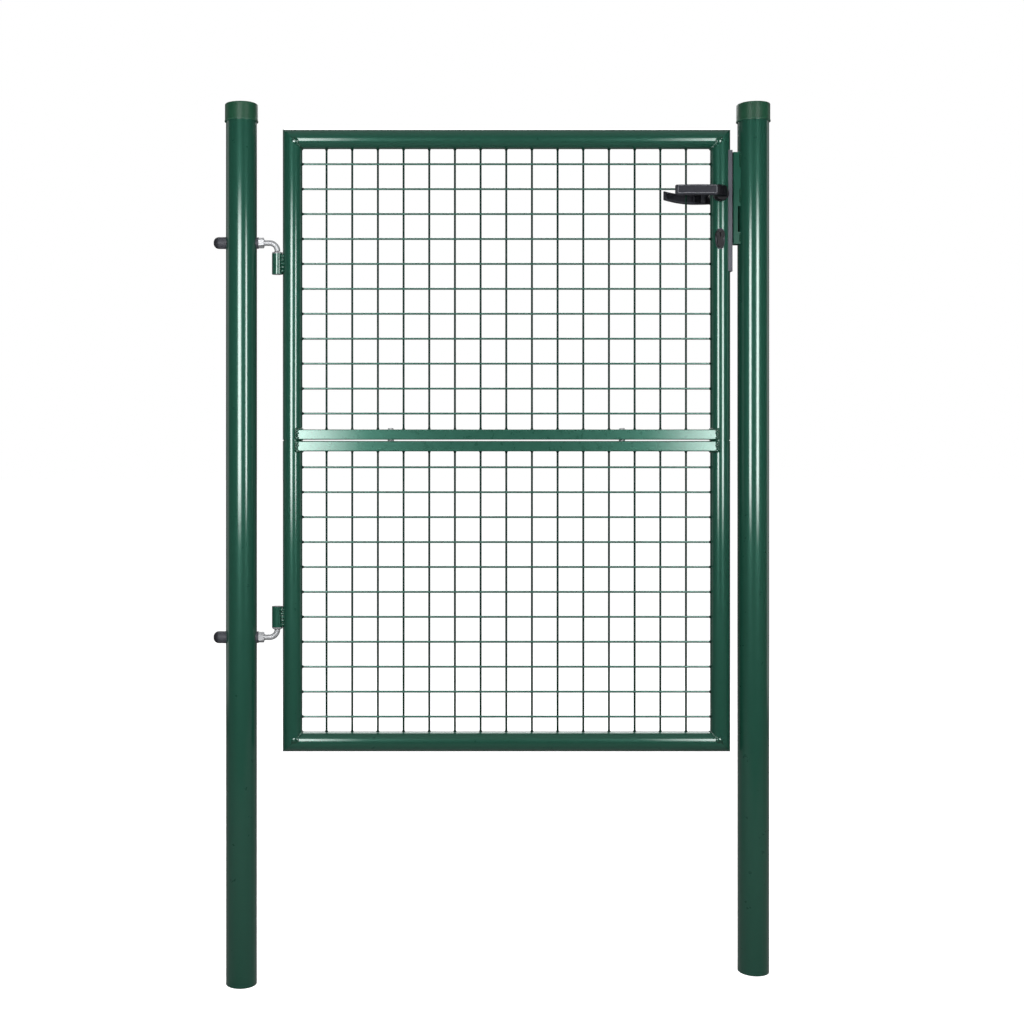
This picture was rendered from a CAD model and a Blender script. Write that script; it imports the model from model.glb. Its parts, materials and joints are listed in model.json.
import json
import math
import random
import bpy
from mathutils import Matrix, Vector, noise


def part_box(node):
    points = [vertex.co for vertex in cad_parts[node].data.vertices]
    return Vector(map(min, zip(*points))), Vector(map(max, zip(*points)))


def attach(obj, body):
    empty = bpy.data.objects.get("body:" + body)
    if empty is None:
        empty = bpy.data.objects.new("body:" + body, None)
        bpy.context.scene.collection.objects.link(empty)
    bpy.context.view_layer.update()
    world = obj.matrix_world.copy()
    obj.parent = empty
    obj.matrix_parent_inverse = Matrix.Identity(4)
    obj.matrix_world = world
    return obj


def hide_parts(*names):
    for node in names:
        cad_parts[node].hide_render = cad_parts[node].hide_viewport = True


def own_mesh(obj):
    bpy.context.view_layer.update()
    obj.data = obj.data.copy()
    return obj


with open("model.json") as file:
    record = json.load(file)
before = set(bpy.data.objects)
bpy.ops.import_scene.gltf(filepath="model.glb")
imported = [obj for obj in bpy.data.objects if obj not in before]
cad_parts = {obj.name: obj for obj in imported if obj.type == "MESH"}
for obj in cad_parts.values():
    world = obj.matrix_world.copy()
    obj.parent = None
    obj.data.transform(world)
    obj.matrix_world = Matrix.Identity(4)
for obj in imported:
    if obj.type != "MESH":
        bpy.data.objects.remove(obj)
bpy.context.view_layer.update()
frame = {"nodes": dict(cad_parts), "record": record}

NODES = frame["nodes"]
RECORD = frame["record"]
SLOT_OF = {s["node"]: s["material_slot"] for s in RECORD["subparts"]}


# ------------------------------------------------------------------ places
def mid(node):
    lo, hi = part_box(node)
    return [(a + b) / 2 for a, b in zip(lo, hi)]


hs_lo, hs_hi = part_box("upper_hinge_stile")
ls_lo, ls_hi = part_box("upper_lock_stile")
tr_lo, tr_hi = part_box("top_rail")
br_lo, br_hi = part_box("bottom_rail")
ub_lo, ub_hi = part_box("upper_mid_bar")
lb_lo, lb_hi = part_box("lower_mid_bar")
TUBE_R = (tr_hi[2] - tr_lo[2]) / 2
HS_X = (hs_lo[0] + hs_hi[0]) / 2
LS_X = (ls_lo[0] + ls_hi[0]) / 2
TOP_Z = (tr_lo[2] + tr_hi[2]) / 2
BOT_Z = (br_lo[2] + br_hi[2]) / 2
MID_Z = (ub_lo[2] + lb_hi[2]) / 2


# ------------------------------------------------------------------ mesh tools
class Build:
    """Gathers closed shells and writes them as one mesh object."""

    def __init__(self):
        self.v, self.f = [], []

    def add(self, verts, faces):
        n = len(self.v)
        self.v += [tuple(p) for p in verts]
        self.f += [tuple(i + n for i in f) for f in faces]

    def make(self, name, mat, body, smooth=True):
        me = bpy.data.meshes.new(name)
        me.from_pydata(self.v, [], self.f)
        me.validate()
        if smooth:
            me.polygons.foreach_set("use_smooth", [True] * len(me.polygons))
        me.materials.append(mat)
        me.update()
        ob = bpy.data.objects.new(name, me)
        bpy.context.scene.collection.objects.link(ob)
        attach(ob, body)
        return ob


def frames(points, closed):
    """A tangent, normal and binormal at each point, without twist."""
    n = len(points)
    out, prev = [], None
    for i, p in enumerate(points):
        a = points[(i - 1) % n] if closed or i > 0 else points[0]
        b = points[(i + 1) % n] if closed or i < n - 1 else points[-1]
        t = (b - a).normalized()
        if prev is None:
            ref = Vector((0, 0, 1)) if abs(t.z) < 0.9 else Vector((1, 0, 0))
            nrm = (ref - t * ref.dot(t)).normalized()
        else:
            nrm = (prev - t * prev.dot(t)).normalized()
        prev = nrm
        out.append((t, nrm, t.cross(nrm)))
    return out


def tube(points, radius, sides=10, closed=False):
    """Vertices and faces of a round tube; radius is a function of the index."""
    points = [Vector(p) for p in points]
    fr = frames(points, closed)
    verts, faces = [], []
    for i, (p, (t, u, w)) in enumerate(zip(points, fr)):
        for k in range(sides):
            a = 2 * math.pi * k / sides
            r = radius(i, a)
            verts.append(p + (u * math.cos(a) + w * math.sin(a)) * r)
    n = len(points)
    for i in range(n if closed else n - 1):
        j = (i + 1) % n
        for k in range(sides):
            m = (k + 1) % sides
            faces.append((i * sides + k, i * sides + m, j * sides + m, j * sides + k))
    if not closed:
        faces.append(tuple(reversed(range(sides))))
        faces.append(tuple(range((n - 1) * sides, n * sides)))
    return verts, faces


def resample(points, step, closed=False):
    pts = [Vector(p) for p in points]
    if closed:
        pts.append(pts[0])
    out, carry = [pts[0].copy()], 0.0
    total = sum((b - a).length for a, b in zip(pts, pts[1:]))
    n = max(3, round(total / step))
    want, done, k = total / n, 0.0, 1
    for a, b in zip(pts, pts[1:]):
        seg = (b - a).length
        while seg > 0 and done + seg >= want * k - 1e-12 and k <= n:
            out.append(a + (b - a) * ((want * k - done) / seg))
            k += 1
        done += seg
    if closed:
        out = out[:n]
    return out


def bead(build, points, r, closed=False, pitch=0.0032, ripple=0.16, seed=0, taper=True, step=0.0008, sides=10):
    """A weld bead along a path: overlapping ripples with an uneven width."""
    pts = resample(points, step, closed)
    n = len(pts)
    size = r if callable(r) else (lambda s: r)

    def radius(i, a):
        s = i * step
        base = size(i / max(1, n - 1))
        wave = abs(math.sin(math.pi * s / pitch + 0.6 * noise.noise(Vector((s * 90, seed, 1.7)))))
        rough = noise.noise(Vector((s * 260, math.cos(a) * 1.3 + seed * 3.1, math.sin(a) * 1.3)))
        wide = noise.noise(Vector((s * 55, seed * 1.9, 4.2)))
        end = 1.0
        if taper and not closed:
            e = min(i, n - 1 - i) * step
            end = 0.35 + 0.65 * min(1.0, e / 0.0025)
        return base * end * (0.9 + ripple * wave + 0.09 * rough + 0.16 * wide)

    build.add(*tube(pts, radius, sides, closed))


ICO_V, ICO_F = [], []


def ico():
    import bmesh
    bm = bmesh.new()
    bmesh.ops.create_icosphere(bm, subdivisions=2, radius=1.0)
    ICO_V.extend(v.co.copy() for v in bm.verts)
    ICO_F.extend(tuple(v.index for v in f.verts) for f in bm.faces)
    bm.free()


ico()


def spatter(build, c, rx, ry, rz, seed):
    """A small uneven lump of weld metal."""
    c = Vector(c)
    off = Vector((seed * 1.37, seed * 0.71, seed * 2.11))
    out = []
    for v in ICO_V:
        k = 1.0 + 0.22 * noise.noise(v * 1.6 + off) + 0.08 * noise.noise(v * 4.1 + off)
        out.append(c + Vector((v.x * rx, v.y * ry, v.z * rz)) * k)
    build.add(out, ICO_F)


def wire_foot(build, base, out_dir, seed, wire=0.002):
    """The flared weld where a wire's end meets the frame."""
    base, out_dir = Vector(base), Vector(out_dir)
    prof = [(-0.0012, 1.25), (-0.0002, 1.62), (0.0006, 1.5), (0.0014, 1.27), (0.0024, 1.1), (0.0036, 1.01), (0.004, 0.9)]
    pts = [base + out_dir * s for s, _ in prof]

    def radius(i, a):
        rough = noise.noise(Vector((i * 0.7 + seed, math.cos(a), math.sin(a) + seed * 2.3)))
        return wire * prof[i][1] * (1 + (0.16 * rough if i < 5 else 0))

    build.add(*tube(pts, radius, 12))


# ------------------------------------------------------------------ material tools
def new_mat(name):
    m = bpy.data.materials.new(name)
    m.use_nodes = True
    nt = m.node_tree
    nt.nodes.clear()
    out = nt.nodes.new("ShaderNodeOutputMaterial")
    bsdf = nt.nodes.new("ShaderNodeBsdfPrincipled")
    nt.links.new(bsdf.outputs[0], out.inputs[0])
    return m, nt, bsdf


def node(nt, kind, **inputs):
    n = nt.nodes.new(kind)
    for k, v in inputs.items():
        if k in n.inputs:
            n.inputs[k].default_value = v
        else:
            setattr(n, k, v)
    return n


def coords(nt, scale=(1, 1, 1)):
    tc = nt.nodes.new("ShaderNodeTexCoord")
    mp = nt.nodes.new("ShaderNodeMapping")
    mp.inputs["Scale"].default_value = scale
    nt.links.new(tc.outputs["Object"], mp.inputs["Vector"])
    return mp.outputs[0]


def noise_tex(nt, vec, scale, detail=3.0, rough=0.5):
    n = nt.nodes.new("ShaderNodeTexNoise")
    n.inputs["Scale"].default_value = scale
    n.inputs["Detail"].default_value = detail
    n.inputs["Roughness"].default_value = rough
    nt.links.new(vec, n.inputs["Vector"])
    return n.outputs["Fac"]


def ramp(nt, fac, stops):
    r = nt.nodes.new("ShaderNodeValToRGB")
    el = r.color_ramp.elements
    while len(el) > 1:
        el.remove(el[-1])
    el[0].position, el[0].color = stops[0][0], (*stops[0][1], 1) if len(stops[0][1]) == 3 else stops[0][1]
    for p, c in stops[1:]:
        e = el.new(p)
        e.color = (*c, 1) if len(c) == 3 else c
    nt.links.new(fac, r.inputs[0])
    return r.outputs["Color"]


def span(nt, fac, a, b, lo=0.0, hi=1.0):
    m = nt.nodes.new("ShaderNodeMapRange")
    m.inputs["From Min"].default_value = a
    m.inputs["From Max"].default_value = b
    m.inputs["To Min"].default_value = lo
    m.inputs["To Max"].default_value = hi
    nt.links.new(fac, m.inputs["Value"])
    return m.outputs[0]


def mixc(nt, fac, a, b, mode="MIX"):
    m = nt.nodes.new("ShaderNodeMix")
    m.data_type = "RGBA"
    m.blend_type = mode
    if isinstance(fac, (int, float)):
        m.inputs["Factor"].default_value = fac
    else:
        nt.links.new(fac, m.inputs["Factor"])
    for sock, v in ((m.inputs[6], a), (m.inputs[7], b)):
        if isinstance(v, tuple):
            sock.default_value = (*v, 1)
        else:
            nt.links.new(v, sock)
    return m.outputs[2]


def math_(nt, op, a, b):
    m = nt.nodes.new("ShaderNodeMath")
    m.operation = op
    for sock, v in ((m.inputs[0], a), (m.inputs[1], b)):
        if isinstance(v, (int, float)):
            sock.default_value = v
        else:
            nt.links.new(v, sock)
    return m.outputs[0]


def bump(nt, height, strength, distance, normal=None):
    b = nt.nodes.new("ShaderNodeBump")
    b.inputs["Strength"].default_value = strength
    b.inputs["Distance"].default_value = distance
    nt.links.new(height, b.inputs["Height"])
    if normal is not None:
        nt.links.new(normal, b.inputs["Normal"])
    return b.outputs[0]


def edges(nt, lo=0.53, hi=0.62):
    g = nt.nodes.new("ShaderNodeNewGeometry")
    return span(nt, g.outputs["Pointiness"], lo, hi)


# ------------------------------------------------------------------ materials
def powder_coat(name="green_powder_coat", coat=0.9, spec=0.27, rough=(0.27, 0.37), tones=((0.0014, 0.0150, 0.0064), (0.0018, 0.0174, 0.0076), (0.0024, 0.0202, 0.0092)), speck=(0.006, 0.043, 0.028), rub=(0.014, 0.075, 0.052), relief=1.0):
    """Glossy dark green powder coat: orange peel, slight thick and thin areas, a thinner film on sharp edges."""
    m, nt, b = new_mat(name)
    vec = coords(nt)
    cloud = noise_tex(nt, vec, 14.0, 4.0, 0.55)
    grain = noise_tex(nt, vec, 900.0, 2.0, 0.6)
    col = ramp(nt, cloud, [(0.30, tones[0]), (0.55, tones[1]), (0.75, tones[2])])
    col = mixc(nt, span(nt, grain, 0.55, 0.8, 0.0, 0.3), col, speck)
    col = mixc(nt, span(nt, edges(nt, 0.52, 0.60), 0, 1, 0, 0.5), col, rub)
    nt.links.new(col, b.inputs["Base Color"])
    r = span(nt, noise_tex(nt, vec, 60.0, 4.0, 0.6), 0.3, 0.7, *rough)
    nt.links.new(r, b.inputs["Roughness"])
    b.inputs["IOR"].default_value = 1.5
    b.inputs["Specular IOR Level"].default_value = spec
    b.inputs["Specular Tint"].default_value = (0.40, 1.0, 0.80, 1.0)
    b.inputs["Coat Weight"].default_value = coat
    b.inputs["Coat Roughness"].default_value = 0.06
    b.inputs["Coat IOR"].default_value = 1.5
    peel = noise_tex(nt, vec, 330.0, 2.0, 0.45)
    wave = noise_tex(nt, vec, 38.0, 2.0, 0.5)
    n1 = bump(nt, wave, 0.04 * relief, 0.0010)
    n2 = bump(nt, peel, 0.12 * relief, 0.00025, n1)
    nt.links.new(n2, b.inputs["Normal"])
    nt.links.new(n1, b.inputs["Coat Normal"])
    return m


def cap_plastic():
    """Moulded green plastic: satin, finely grained, a touch lighter than the paint."""
    m, nt, b = new_mat("green_cap_plastic")
    vec = coords(nt)
    cloud = noise_tex(nt, vec, 45.0, 4.0, 0.6)
    col = ramp(nt, cloud, [(0.3, (0.0048, 0.042, 0.020)), (0.7, (0.0085, 0.056, 0.028))])
    col = mixc(nt, span(nt, edges(nt, 0.51, 0.60), 0, 1, 0, 0.5), col, (0.022, 0.095, 0.058))
    nt.links.new(col, b.inputs["Base Color"])
    nt.links.new(span(nt, noise_tex(nt, vec, 420.0, 3.0, 0.6), 0.3, 0.7, 0.30, 0.42), b.inputs["Roughness"])
    b.inputs["Specular IOR Level"].default_value = 0.5
    n1 = bump(nt, noise_tex(nt, vec, 1400.0, 3.0, 0.7), 0.22, 0.00018)
    n1 = bump(nt, noise_tex(nt, vec, 90.0, 2.0, 0.5), 0.14, 0.0008, n1)
    nt.links.new(n1, b.inputs["Normal"])
    return m


def zinc(name="zinc_plated_steel", tone=(0.31, 0.315, 0.325), rough=(0.42, 0.54)):
    """Bright zinc plating: fine spangle, faint drawing marks and dulled recesses."""
    m, nt, b = new_mat(name)
    vec = coords(nt)
    vo = nt.nodes.new("ShaderNodeTexVoronoi")
    vo.inputs["Scale"].default_value = 420.0
    nt.links.new(vec, vo.inputs["Vector"])
    cell = span(nt, vo.outputs["Distance"], 0.0, 0.6)
    t = tone
    col = ramp(nt, cell, [(0.0, tuple(c * 0.86 for c in t)), (0.5, t), (1.0, tuple(min(1, c * 1.1) for c in t))])
    col = mixc(nt, span(nt, noise_tex(nt, vec, 120.0, 4.0, 0.6), 0.45, 0.75, 0, 0.35), col, tuple(c * 0.72 for c in t))
    nt.links.new(col, b.inputs["Base Color"])
    b.inputs["Metallic"].default_value = 0.5
    b.inputs["Specular IOR Level"].default_value = 0.4
    nt.links.new(span(nt, noise_tex(nt, vec, 240.0, 4.0, 0.65), 0.3, 0.7, *rough), b.inputs["Roughness"])
    n1 = bump(nt, noise_tex(nt, vec, 700.0, 3.0, 0.6), 0.18, 0.00012)
    nt.links.new(n1, b.inputs["Normal"])
    return m


def black_plastic(name="black_plastic", boss_x=None):
    """Glass-filled black plastic: eroded grain, edges rubbed paler; a lever's boss stays darker than its rubbed grip."""
    m, nt, b = new_mat(name)
    vec = coords(nt)
    cloud = noise_tex(nt, vec, 70.0, 4.0, 0.6)
    col = ramp(nt, cloud, [(0.3, (0.0034, 0.0035, 0.0050)), (0.7, (0.0062, 0.0064, 0.0092))])
    col = mixc(nt, span(nt, edges(nt, 0.51, 0.57), 0, 1, 0, 0.75), col, (0.060, 0.062, 0.072))
    if boss_x is not None:
        sep = nt.nodes.new("ShaderNodeSeparateXYZ")
        nt.links.new(vec, sep.inputs[0])
        on_boss = span(nt, sep.outputs["X"], boss_x - 0.0012, boss_x + 0.0012)
        col = mixc(nt, on_boss, mixc(nt, span(nt, noise_tex(nt, vec, 160.0, 3.0, 0.6), 0.3, 0.7, 0.55, 0.8), col, (0.0125, 0.013, 0.0175)), (0.0045, 0.0045, 0.0060))
    nt.links.new(col, b.inputs["Base Color"])
    nt.links.new(span(nt, noise_tex(nt, vec, 500.0, 3.0, 0.6), 0.3, 0.7, 0.40, 0.54), b.inputs["Roughness"])
    b.inputs["Specular IOR Level"].default_value = 0.12 if boss_x is None else 0.09
    n1 = bump(nt, noise_tex(nt, vec, 1700.0, 3.0, 0.7), 0.30, 0.0002)
    nt.links.new(n1, b.inputs["Normal"])
    return m


def nylon():
    m, nt, b = new_mat("pale_nylon")
    vec = coords(nt)
    col = ramp(nt, noise_tex(nt, vec, 150.0, 4.0, 0.6), [(0.3, (0.15, 0.148, 0.155)), (0.7, (0.20, 0.198, 0.206))])
    nt.links.new(col, b.inputs["Base Color"])
    nt.links.new(span(nt, noise_tex(nt, vec, 300.0, 3.0, 0.6), 0.3, 0.7, 0.36, 0.5), b.inputs["Roughness"])
    b.inputs["Subsurface Weight"].default_value = 0.15
    b.inputs["Subsurface Radius"].default_value = (0.002, 0.002, 0.002)
    n1 = bump(nt, noise_tex(nt, vec, 900.0, 3.0, 0.6), 0.15, 0.00015)
    nt.links.new(n1, b.inputs["Normal"])
    return m


def brushed(name, tone, rough=(0.28, 0.42), metallic=0.9, along="z", spec=0.3):
    """Ground or rolled steel, its fine lines running along one axis."""
    m, nt, b = new_mat(name)
    scale = {"z": (1, 1, 0.02), "x": (0.02, 1, 1)}[along]
    lines = noise_tex(nt, coords(nt, scale), 2600.0, 3.0, 0.6)
    vec = coords(nt)
    col = ramp(nt, lines, [(0.3, tuple(c * 0.8 for c in tone)), (0.7, tuple(min(1, c * 1.15) for c in tone))])
    col = mixc(nt, span(nt, noise_tex(nt, vec, 40.0, 5.0, 0.65), 0.5, 0.75, 0, 0.3), col, tuple(c * 0.65 for c in tone))
    col = mixc(nt, span(nt, edges(nt, 0.51, 0.58), 0, 1, 0, 0.5), col, tuple(min(1, c * 1.7 + 0.03) for c in tone))
    nt.links.new(col, b.inputs["Base Color"])
    b.inputs["Metallic"].default_value = metallic
    b.inputs["Specular IOR Level"].default_value = spec
    nt.links.new(span(nt, lines, 0.3, 0.7, *rough), b.inputs["Roughness"])
    nt.links.new(bump(nt, lines, 0.2, 0.0001), b.inputs["Normal"])
    return m


MAT = {
    "green_powder_coat": powder_coat(),
    "green_cap_plastic": cap_plastic(),
    "zinc_plated_steel": zinc(),
    "black_plastic": black_plastic(),
    "pale_nylon": nylon(),
    "dark_steel": brushed("dark_steel", (0.026, 0.0275, 0.036), (0.42, 0.56), 0.35),
    "bright_steel": brushed("bright_steel", (0.42, 0.42, 0.44), (0.24, 0.36), 1.0, "x"),
    "nickel_brass": brushed("nickel_brass", (0.0040, 0.0040, 0.0052), (0.38, 0.50), 0.0, "x", 0.05),
}
for name, ob in NODES.items():
    ob.data.materials.clear()
    ob.data.materials.append(MAT[SLOT_OF[name]])

GREEN = MAT["green_powder_coat"]
# the flat-faced bars took a slightly heavier, more reflective film
BAR = powder_coat("green_coated_bars", 0.9, 0.56, (0.25, 0.34))
for name in ("upper_mid_bar", "lower_mid_bar"):
    NODES[name].data.materials[0] = BAR
# the wires and the small pressed parts carry a thinner, less glossy film
WIRE = powder_coat("green_coated_uprights", 0.03, 0.07, (0.42, 0.52), ((0.0024, 0.0052, 0.0042), (0.0031, 0.0064, 0.0052), (0.0040, 0.0080, 0.0066)), (0.006, 0.014, 0.011), (0.010, 0.026, 0.020), 0.4)
CROSS = powder_coat("green_coated_crosswires", 0.9, 0.6, (0.26, 0.36), ((0.014, 0.044, 0.032), (0.018, 0.052, 0.039), (0.023, 0.062, 0.047)), (0.028, 0.075, 0.058), (0.04, 0.10, 0.08), 0.4)
PRESSED = powder_coat("green_coated_keeper", 0.05, 0.10, (0.42, 0.52))
for name in ("upper_mesh_uprights", "lower_mesh_uprights"):
    NODES[name].data.materials[0] = WIRE
for name in ("upper_mesh_crosswires", "lower_mesh_crosswires"):
    NODES[name].data.materials[0] = CROSS
NODES["strike_keeper"].data.materials[0] = PRESSED
for name in ("front_lever", "rear_lever"):
    # the boss begins where the grip ends, measured in the lever's own coordinates
    s_lo, s_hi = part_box("handle_spindle")
    at_end = NODES[name].matrix_world.inverted() @ Vector(((s_lo[0] + s_hi[0]) / 2 - 0.0150, 0.0, 0.0))
    NODES[name].data.materials[0] = black_plastic("black_plastic_" + name, at_end.x)


# ------------------------------------------------------------------ welds
# mitred corners: a bead round each joint, proud on the inner half and nearly flush outside
for tag, xs, zs, sx, sz in (
    ("top_hinge", HS_X, TOP_Z, 1, -1),
    ("top_lock", LS_X, TOP_Z, -1, -1),
    ("bottom_hinge", HS_X, BOT_Z, 1, 1),
    ("bottom_lock", LS_X, BOT_Z, -1, 1),
):
    B = Build()
    pts, n = [], 240
    for i in range(n):
        a = 2 * math.pi * i / n
        d = TUBE_R * math.sin(a)
        y = -TUBE_R * math.cos(a)
        pts.append(Vector((xs + sx * d, y, zs + sz * d)))
    pts = resample(pts, 0.0008, True)
    m = len(pts)
    seed = {"top_hinge": 3, "top_lock": 8, "bottom_hinge": 13, "bottom_lock": 21}[tag]
    inner = [((p.x - xs) * sx / TUBE_R + 1) / 2 for p in pts]
    # sink the path so that the bead stands proud by a part of its radius
    path = []
    for p, k in zip(pts, inner):
        t = min(1.0, max(0.0, (k - 0.40) / 0.25))
        depth = 0.0006 + 0.0004 * t
        centre = Vector((xs, 0, zs)) + Vector((sx, 0, sz)) * ((p.x - xs) * sx)
        out = Vector((p.x - xs, p.y, p.z - zs)).normalized()
        path.append(p - out * depth)

    def radius(i, a, inner=inner, seed=seed):
        k = inner[i % len(inner)]
        s = i * 0.0008
        t = min(1.0, max(0.0, (k - 0.40) / 0.25))
        base = 0.00072 + 0.00205 * t * t * (3 - 2 * t)
        wave = abs(math.sin(math.pi * s / 0.0042 + noise.noise(Vector((s * 90, seed, 0.3)))))
        rough = noise.noise(Vector((s * 240, math.cos(a) + seed, math.sin(a))))
        wide = noise.noise(Vector((s * 60, seed * 1.7, 2.0)))
        return base * (0.80 + 0.34 * wave * t + 0.14 * rough * t + 0.2 * wide * t)

    B.add(*tube(path, radius, 12, closed=True))
    # the start of the pass leaves a few heavier drops, front and rear
    for sy in (-1, 1):
        for i, (d, rr) in enumerate(((0.0050, 0.0084), (0.0098, 0.0044), (0.0130, 0.0036), (0.0158, 0.0036))):
            y = sy * (math.sqrt(TUBE_R**2 - d * d) - 0.0008)
            jog = 0.0008 * noise.noise(Vector((seed, i * 1.7, sy)))
            spatter(B, (xs + sx * (d + jog), y, zs + sz * d), rr, 0.0010 + rr * 0.19, rr * 0.92, seed * 5 + i + (40 if sy > 0 else 0))
    B.make("mitre_weld_" + tag, GREEN, "leaf")

# rectangular bars to the stiles
for tag, lo, hi in (("upper", ub_lo, ub_hi), ("lower", lb_lo, lb_hi)):
    B = Build()
    hy = (hi[1] - lo[1]) / 2
    z0, z1 = lo[2], hi[2]
    for xs, sx, seed in ((HS_X, 1, 1), (LS_X, -1, 2)):
        # the side that faces the other bar is left unwelded, so the ring turns short of it
        if tag == "upper":
            z0 = lo[2] + 0.0016
        else:
            z1 = hi[2] - 0.0016

        def on_stile(y, z, xs=xs, sx=sx):
            return Vector((xs + sx * (math.sqrt(max(0, TUBE_R**2 - y * y)) - 0.0003), y, z))
        ring, k = [], 14
        for i in range(k):
            ring.append(on_stile(-hy + 2 * hy * i / k, z0))
        for i in range(6):
            ring.append(on_stile(hy, z0 + (z1 - z0) * i / 6))
        for i in range(k):
            ring.append(on_stile(hy - 2 * hy * i / k, z1))
        for i in range(6):
            ring.append(on_stile(-hy, z1 - (z1 - z0) * i / 6))
        bead(B, ring, lambda f: 0.0021, closed=True, pitch=0.0052, ripple=0.5, seed=seed + 5, sides=12)
        # the pass starts and stops at the corners, where the metal runs out over the bar's faces
        for sy in (-1, 1):
            for i, (dx, f, rr) in enumerate(((0.0030, 0.10, 0.0036), (0.0024, 0.38, 0.0030), (0.0034, 0.62, 0.0034), (0.0028, 0.90, 0.0036))):
                at = on_stile(sy * hy, z0 + (z1 - z0) * f)
                spatter(B, (at.x + sx * dx, at.y + sy * 0.0002, at.z), rr, 0.0015, rr * 0.8, seed * 31 + i * 3 + (7 if sy > 0 else 0) + (90 if tag == "lower" else 0))
    B.make("bar_weld_" + tag, GREEN, "leaf")

# wire ends and crossings
for half, rail_z, bar_z, up in (
    ("upper", TOP_Z, ub_hi[2], 1),
    ("lower", BOT_Z, lb_lo[2], -1),
):
    u_lo, u_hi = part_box(half + "_mesh_uprights")
    c_lo, c_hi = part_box(half + "_mesh_crosswires")
    wr = (u_hi[1] - u_lo[1]) / 2
    uy, cy = (u_lo[1] + u_hi[1]) / 2, (c_lo[1] + c_hi[1]) / 2
    xs = [u_lo[0] + wr + i * (u_hi[0] - u_lo[0] - 2 * wr) / 14 for i in range(15)]
    zs = [c_lo[2] + wr + i * (c_hi[2] - c_lo[2] - 2 * wr) / 10 for i in range(11)]
    B = Build()
    q = math.sqrt(TUBE_R**2 - uy**2)
    for i, x in enumerate(xs):
        wire_foot(B, (x, uy, rail_z - up * q), (0, 0, -up), i + 0.5, wr)
        wire_foot(B, (x, uy, bar_z), (0, 0, up), i + 40.5, wr)
    for j, z in enumerate(zs):
        wire_foot(B, (HS_X + q, cy, z), (1, 0, 0), j + 80.5, wr)
        wire_foot(B, (LS_X - q, cy, z), (-1, 0, 0), j + 120.5, wr)
    B.make("wire_end_welds_" + half, WIRE, "leaf")
    B = Build()
    for i, x in enumerate(xs):
        for j, z in enumerate(zs):
            spatter(B, (x, (uy + cy) / 2, z), wr * 1.12, wr * 0.62, wr * 1.12, i * 17 + j * 3 + 1)
    B.make("wire_crossing_welds_" + half, WIRE, "leaf")

# hinge barrels to the stile: a heavy stitched bead down each side
for half in ("upper", "lower"):
    b_lo, b_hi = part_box(half + "_hinge_barrel")
    bx, br = (b_lo[0] + b_hi[0]) / 2, (b_hi[0] - b_lo[0]) / 2
    B = Build()
    for sy, seed in ((-1, 3), (1, 9)):
        y = 0.0084 * sy
        x = HS_X - math.sqrt(TUBE_R**2 - y * y) - 0.0022
        z0, z1 = b_lo[2] + 0.0022, b_hi[2] - 0.0018
        bead(B, [(x, y, z0), (x, y, z1)], lambda f: 0.0026, pitch=0.0078, ripple=0.3, seed=seed, sides=16, step=0.0005)
        n = 5
        for i in range(n):
            z = z0 + (i + 0.5) * (z1 - z0) / n
            dx = 0.0009 * noise.noise(Vector((i * 2.3, seed, 0.4)))
            spatter(B, (x + dx, y + sy * 0.0011, z), 0.0046, 0.0034, 0.0036, seed * 7 + i)
    B.make("hinge_barrel_weld_" + half, GREEN, "leaf")

# keeper to the lock post: stitches along its weld lands
k_lo, k_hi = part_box("strike_keeper")
p_lo, p_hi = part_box("lock_post")
px, pr = (p_lo[0] + p_hi[0]) / 2, (p_hi[0] - p_lo[0]) / 2
B = Build()
for sy, seed in ((-1, 4), (1, 6)):
    y = sy * (k_hi[1] - 0.0004)
    x = px - math.sqrt(pr**2 - y * y) - 0.0002
    for z0, z1 in ((k_lo[2] + 0.002, k_lo[2] + 0.021), (k_hi[2] - 0.030, k_hi[2] - 0.002), (k_hi[2] - 0.098, k_hi[2] - 0.070)):
        bead(B, [(x, y * 1.03, z0), (x, y * 1.03, z1)], lambda f: 0.0019, pitch=0.0046, ripple=0.35, seed=seed)
B.make("keeper_weld", PRESSED, "posts")

# the latch's return spring shortens as the latch draws back, so it stays in the lock case and gives way along X
s_lo, s_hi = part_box("latch_spring")
wire = 0.00045
coil = (s_hi[2] - s_lo[2]) / 2 - wire
sy, sz = (s_lo[1] + s_hi[1]) / 2, (s_lo[2] + s_hi[2]) / 2
x0, x1 = s_lo[0] + wire, s_hi[0] - wire
turns, per = 6, 30
pts = []
for i in range(turns * per + 1):
    f = i / (turns * per)
    a = 2 * math.pi * turns * f
    pts.append(Vector((x0 + (x1 - x0) * f, sy + coil * math.cos(a), sz + coil * math.sin(a))))
B = Build()
B.add(*tube(pts, lambda i, a: wire, 10))
SPRING = B.make("latch_return_spring", MAT["bright_steel"], "leaf")
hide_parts("latch_spring")
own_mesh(SPRING)

# the moulded edge that frames the front lever's flat face
fl_lo, fl_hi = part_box("front_lever")
sp_lo, sp_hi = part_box("handle_spindle")
SPX = (sp_lo[0] + sp_hi[0]) / 2
SPZ = (sp_lo[2] + sp_hi[2]) / 2


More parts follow.
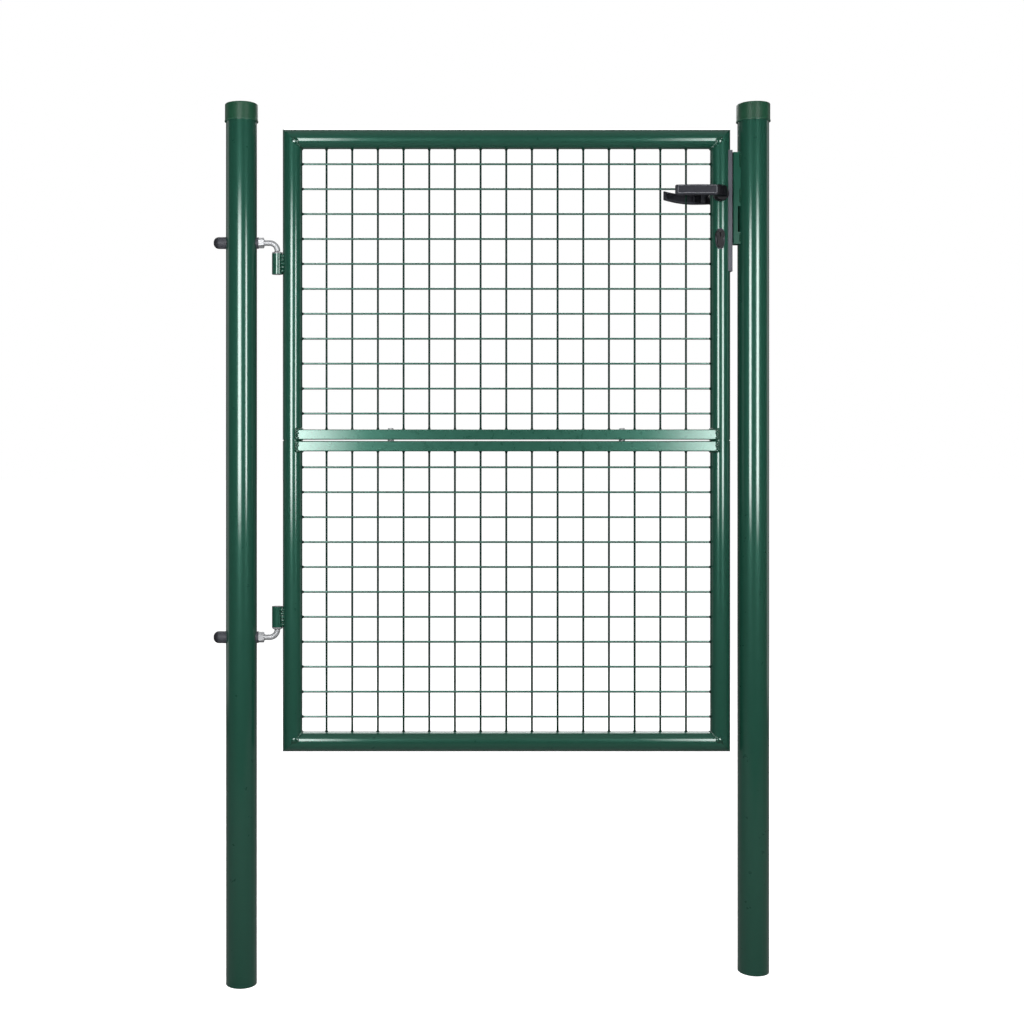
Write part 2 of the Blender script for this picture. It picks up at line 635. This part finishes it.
def arc_y(x):
    """Front of the grip: an arc through three known points."""
    (x1, y1), (x2, y2), (x3, y3) = (SPX - 0.0155, -0.0604), (SPX - 0.055, -0.0615), (SPX - 0.0945, -0.0575)
    d = 2 * (x1 * (y2 - y3) + x2 * (y3 - y1) + x3 * (y1 - y2))
    ux = ((x1**2 + y1**2) * (y2 - y3) + (x2**2 + y2**2) * (y3 - y1) + (x3**2 + y3**2) * (y1 - y2)) / d
    uy = ((x1**2 + y1**2) * (x3 - x2) + (x2**2 + y2**2) * (x1 - x3) + (x3**2 + y3**2) * (x2 - x1)) / d
    r = math.hypot(x1 - ux, y1 - uy)
    return uy - math.sqrt(r * r - (x - ux) ** 2)


def worn_edge_mat():
    """The same black plastic, rubbed grey where hands pass."""
    m, nt, b = new_mat("black_plastic_worn_edge")
    vec = coords(nt)
    col = ramp(nt, noise_tex(nt, vec, 380.0, 5.0, 0.7), [(0.30, (0.035, 0.037, 0.045)), (0.48, (0.14, 0.145, 0.16)), (0.7, (0.26, 0.27, 0.29))])
    nt.links.new(col, b.inputs["Base Color"])
    nt.links.new(span(nt, noise_tex(nt, vec, 500.0, 3.0, 0.6), 0.3, 0.7, 0.38, 0.55), b.inputs["Roughness"])
    b.inputs["Specular IOR Level"].default_value = 0.3
    nt.links.new(bump(nt, noise_tex(nt, vec, 1700.0, 3.0, 0.7), 0.3, 0.0002), b.inputs["Normal"])
    return m


WORN = worn_edge_mat()
B = Build()
x0, x1 = fl_lo[0] + 0.0046, SPX - 0.0165
z0, z1, cr = SPZ - 0.0037 + 0.0015, fl_hi[2] - 0.0015, 0.0022
ring = []
for cx, cz, a0 in ((x1 - cr, z1 - cr, 0), (x0 + cr, z1 - cr, 90), (x0 + cr, z0 + cr, 180), (x1 - cr, z0 + cr, 270)):
    for i in range(9):
        a = math.radians(a0 + 90 * i / 8)
        ring.append((cx + cr * math.cos(a), cz + cr * math.sin(a)))
fine = []
for (ax, az), (bx2, bz2) in zip(ring, ring[1:] + ring[:1]):
    n = max(1, round(math.hypot(bx2 - ax, bz2 - az) / 0.0012))
    for i in range(n):
        fine.append((ax + (bx2 - ax) * i / n, az + (bz2 - az) * i / n))
path = [(x, arc_y(x) + 0.00005, z) for x, z in fine]
B.add(*tube(path, lambda i, a: 0.00058 * (1 + 0.10 * noise.noise(Vector((i * 0.37, 0.2, 5.0)))), 8, closed=True))
B.make("front_lever_moulded_edge", WORN, "handle")

# oval key escutcheons: pressed plates that follow the tube, with the cylinder's hole
cb_lo, cb_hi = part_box("cylinder_body")
cp_lo, cp_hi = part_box("cylinder_plugs")
KEY_X = (cp_lo[0] + cp_hi[0]) / 2
KEY_Z = (cp_lo[2] + cp_hi[2]) / 2
BODY_R = (cb_hi[0] - cb_lo[0]) / 2
PLATE_X, PLATE_Z, PLATE_RX, PLATE_RZ = KEY_X, (cb_lo[2] + cb_hi[2]) / 2, 0.0088, 0.0202


def plate_outline(n):
    """An oval whose ends are rounder than an ellipse's."""
    out = []
    for i in range(n):
        a = 2 * math.pi * i / n
        c, t = math.cos(a), math.sin(a)
        e = 2.0 / 2.5
        out.append((PLATE_X + PLATE_RX * math.copysign(abs(c) ** e, c), PLATE_Z + PLATE_RZ * math.copysign(abs(t) ** e, t)))
    return out


def hole_outline(n, grow=0.0004):
    """The profile cylinder's outline: a round head and a narrower foot below it."""
    r, w = BODY_R + grow, 0.0050 + grow
    foot = cb_lo[2] - grow
    joint = KEY_Z - math.sqrt(r * r - w * w)
    a0 = math.asin(w / r)
    pts = []
    for i in range(41):
        a = -math.pi / 2 + a0 + (2 * math.pi - 2 * a0) * i / 40
        pts.append((KEY_X + r * math.cos(a), KEY_Z + r * math.sin(a)))
    for i in range(21):
        a = math.pi + math.pi * i / 20
        pts.append((KEY_X + w * math.cos(a), foot + w + w * math.sin(a)))
    # put n points on the outline at the angles of an even fan from the plate's middle
    poly = pts + [pts[0]]
    out = []
    for i in range(n):
        a = 2 * math.pi * i / n
        d = (math.cos(a), math.sin(a))
        best = None
        for (x0, z0), (x1, z1) in zip(poly, poly[1:]):
            ex, ez = x1 - x0, z1 - z0
            det = d[0] * -ez + ex * d[1]
            if abs(det) < 1e-14:
                continue
            qx, qz = x0 - PLATE_X, z0 - PLATE_Z
            t = (qx * -ez + ex * qz) / det
            u = (d[0] * qz - d[1] * qx) / det
            if t > 0 and -1e-9 <= u <= 1 + 1e-9 and (best is None or t > best):
                best = t
        out.append((PLATE_X + d[0] * best, PLATE_Z + d[1] * best))
    return out


def escutcheon(name, sy, mat):
    n = 160
    outer, hole = plate_outline(n), hole_outline(n)
    rings = []

    def ring(k, proud, shrink=0.0):
        """k runs from 0 at the rim to 1 at the hole; proud is the height over the tube."""
        row = []
        for (ox, oz), (hx, hz) in zip(outer, hole):
            x, z = ox + (hx - ox) * k, oz + (hz - oz) * k
            base = math.sqrt(TUBE_R**2 - min(abs(x - LS_X), TUBE_R * 0.98) ** 2)
            row.append(Vector((x, sy * (base + proud), z)))
        rings.append(row)

    for k, proud in ((0.0, 0.0001), (0.0, 0.0009), (0.04, 0.0014), (0.12, 0.0017), (0.30, 0.0018), (0.62, 0.0015), (0.88, 0.0013), (0.97, 0.0011), (1.0, 0.0008), (1.0, 0.0001)):
        ring(k, proud)
    verts = [p for r in rings for p in r]
    faces = []
    m = len(rings)
    for j in range(m):
        j2 = (j + 1) % m
        for i in range(n):
            i2 = (i + 1) % n
            q = (j * n + i, j * n + i2, j2 * n + i2, j2 * n + i)
            faces.append(q if sy < 0 else tuple(reversed(q)))
    B = Build()
    B.add(verts, faces)
    return B.make(name, mat, "leaf")


def escutcheon_mat():
    """Dark moulded escutcheon, polished by hands and keys toward its rim."""
    m, nt, b = new_mat("escutcheon_dark")
    vec = coords(nt)
    col = ramp(nt, noise_tex(nt, vec, 160.0, 4.0, 0.6), [(0.3, (0.0070, 0.0078, 0.0105)), (0.7, (0.0125, 0.0138, 0.0175))])
    col = mixc(nt, span(nt, edges(nt, 0.505, 0.55), 0, 1, 0, 0.8), col, (0.10, 0.11, 0.125))
    nt.links.new(col, b.inputs["Base Color"])
    nt.links.new(span(nt, noise_tex(nt, vec, 420.0, 3.0, 0.6), 0.3, 0.7, 0.26, 0.38), b.inputs["Roughness"])
    b.inputs["Specular IOR Level"].default_value = 0.2
    nt.links.new(bump(nt, noise_tex(nt, vec, 1300.0, 3.0, 0.6), 0.2, 0.00015), b.inputs["Normal"])
    return m


ESC = escutcheon_mat()
escutcheon("front_key_escutcheon", -1, ESC)
escutcheon("rear_key_escutcheon", 1, ESC)

# ------------------------------------------------------------------ stage, lights, camera
def stage_mesh(name, verts, faces, mat):
    me = bpy.data.meshes.new(name)
    me.from_pydata(verts, [], faces)
    me.materials.append(mat)
    ob = bpy.data.objects.new(name, me)
    bpy.context.scene.collection.objects.link(ob)
    return ob


fm = bpy.data.materials.new("floor_white")
fm.use_nodes = True
nt = fm.node_tree
nt.nodes.clear()
fout = nt.nodes.new("ShaderNodeOutputMaterial")
fdif = nt.nodes.new("ShaderNodeBsdfDiffuse")
fcol = ramp(nt, noise_tex(nt, coords(nt), 3.0, 3.0, 0.5), [(0.3, (0.60, 0.60, 0.60)), (0.7, (0.62, 0.62, 0.62))])
nt.links.new(fcol, fdif.inputs["Color"])
fem = nt.nodes.new("ShaderNodeEmission")
fem.inputs["Color"].default_value = (1, 1, 1, 1)
fem.inputs["Strength"].default_value = 0.80
fadd = nt.nodes.new("ShaderNodeAddShader")
nt.links.new(fdif.outputs[0], fadd.inputs[0])
nt.links.new(fem.outputs[0], fadd.inputs[1])
fdim = nt.nodes.new("ShaderNodeBsdfDiffuse")
fdim.inputs["Color"].default_value = (0.22, 0.22, 0.22, 1)
flp = nt.nodes.new("ShaderNodeLightPath")
fmix = nt.nodes.new("ShaderNodeMixShader")
nt.links.new(flp.outputs["Is Camera Ray"], fmix.inputs[0])
nt.links.new(fdim.outputs[0], fmix.inputs[1])
nt.links.new(fadd.outputs[0], fmix.inputs[2])
nt.links.new(fmix.outputs[0], fout.inputs[0])
S = 30.0
floor = stage_mesh("floor", [(-S, -S, 0), (S, -S, 0), (S, S, 0), (-S, S, 0)], [(0, 1, 2, 3)], fm)
floor.location = (0.5, 0, -0.0006)

world = bpy.data.worlds.new("studio")
bpy.context.scene.world = world
world.use_nodes = True
wn = world.node_tree
wn.nodes.clear()
wout = wn.nodes.new("ShaderNodeOutputWorld")
bg = wn.nodes.new("ShaderNodeBackground")
bg.inputs["Color"].default_value = (1, 1, 1, 1)
wtc = wn.nodes.new("ShaderNodeTexCoord")
wsep = wn.nodes.new("ShaderNodeSeparateXYZ")
wn.links.new(wtc.outputs["Generated"], wsep.inputs[0])
up = span(wn, wsep.outputs["Z"], 0.25, 0.9, 0.045, 0.40)
lp = wn.nodes.new("ShaderNodeLightPath")
both = wn.nodes.new("ShaderNodeMix")
both.data_type = "FLOAT"
wn.links.new(lp.outputs["Is Glossy Ray"], both.inputs[0])
dif = span(wn, wsep.outputs["Z"], -0.2, 0.9, 0.16, 0.50)
wn.links.new(dif, both.inputs[2])
wn.links.new(up, both.inputs[3])
cam_ray = lp.outputs["Is Camera Ray"]
rest = math_(wn, "SUBTRACT", 1.0, cam_ray)
wn.links.new(math_(wn, "ADD", math_(wn, "MULTIPLY", both.outputs[0], rest), cam_ray), bg.inputs["Strength"])
wn.links.new(bg.outputs[0], wout.inputs[0])


def softbox(name, at, toward, width, height, radiance, soft_x=0.25, soft_y=0.2):
    """A rectangular softbox that shines toward a point, its light fading out at its edges."""
    m = bpy.data.materials.new(name)
    m.use_nodes = True
    nt = m.node_tree
    nt.nodes.clear()
    out = nt.nodes.new("ShaderNodeOutputMaterial")
    em = nt.nodes.new("ShaderNodeEmission")
    em.inputs["Color"].default_value = (1, 1, 1, 1)
    tc = nt.nodes.new("ShaderNodeTexCoord")
    sep = nt.nodes.new("ShaderNodeSeparateXYZ")
    nt.links.new(tc.outputs["Object"], sep.inputs[0])

    def fade(axis, half, soft):
        d = math_(nt, "ABSOLUTE", sep.outputs[axis], 0.0)
        r = nt.nodes.new("ShaderNodeMapRange")
        r.interpolation_type = "SMOOTHSTEP"
        r.inputs["From Min"].default_value = half
        r.inputs["From Max"].default_value = half - soft
        nt.links.new(d, r.inputs["Value"])
        return r.outputs[0]

    k = math_(nt, "MULTIPLY", fade("X", width / 2, soft_x), fade("Y", height / 2, soft_y))
    geo = nt.nodes.new("ShaderNodeNewGeometry")
    front = math_(nt, "SUBTRACT", 1.0, geo.outputs["Backfacing"])
    k = math_(nt, "MULTIPLY", k, front)
    nt.links.new(math_(nt, "MULTIPLY", k, radiance), em.inputs["Strength"])
    nt.links.new(em.outputs[0], out.inputs[0])
    w, h = width / 2, height / 2
    ob = stage_mesh(name, [(-w, -h, 0), (w, -h, 0), (w, h, 0), (-w, h, 0)], [(0, 3, 2, 1)], m)
    d = (Vector(toward) - Vector(at)).normalized()
    ob.location = at
    ob.rotation_mode = "QUATERNION"
    ob.rotation_quaternion = d.to_track_quat("-Z", "Y")
    ob.visible_camera = False
    ob.visible_shadow = False
    return ob


softbox("strip_left", (-0.265, -1.73, 1.295), (-0.265, 0, 1.295), 1.00, 1.22, 19.0, 0.32, 0.28)
softbox("strip_right", (1.57, -1.73, 1.295), (1.57, 0, 1.295), 0.98, 1.22, 20.0, 0.42, 0.28)
softbox("side_left", (-2.0, 0.95, 1.2), (0.1, 0, 1.1), 1.6, 2.4, 0.7, 0.55)
softbox("side_right", (3.05, 0.95, 1.2), (0.9, 0, 1.1), 1.6, 2.4, 0.7, 0.55)
softbox("back_top", (0.5, 2.4, 3.0), (0.5, 0, 1.0), 3.2, 1.6, 5.0)

F_PX, CX, CY = 1400.0, 387.0, 434.6
cam_data = bpy.data.cameras.new("camera")
cam_data.sensor_width = 36.0
cam_data.lens = 36.0 * F_PX / 1024.0
cam_data.shift_x = (512.0 - CX) / 1024.0
cam_data.shift_y = -(512.0 - CY) / 1024.0
cam_data.clip_start, cam_data.clip_end = 0.05, 60.0
cam = bpy.data.objects.new("camera", cam_data)
cam.location = (0.2832, -2.7248, 1.0672)
cam.rotation_euler = (math.radians(90), 0, 0)
bpy.context.scene.collection.objects.link(cam)
bpy.context.scene.camera = cam
bpy.context.scene.view_settings.view_transform = "Standard"
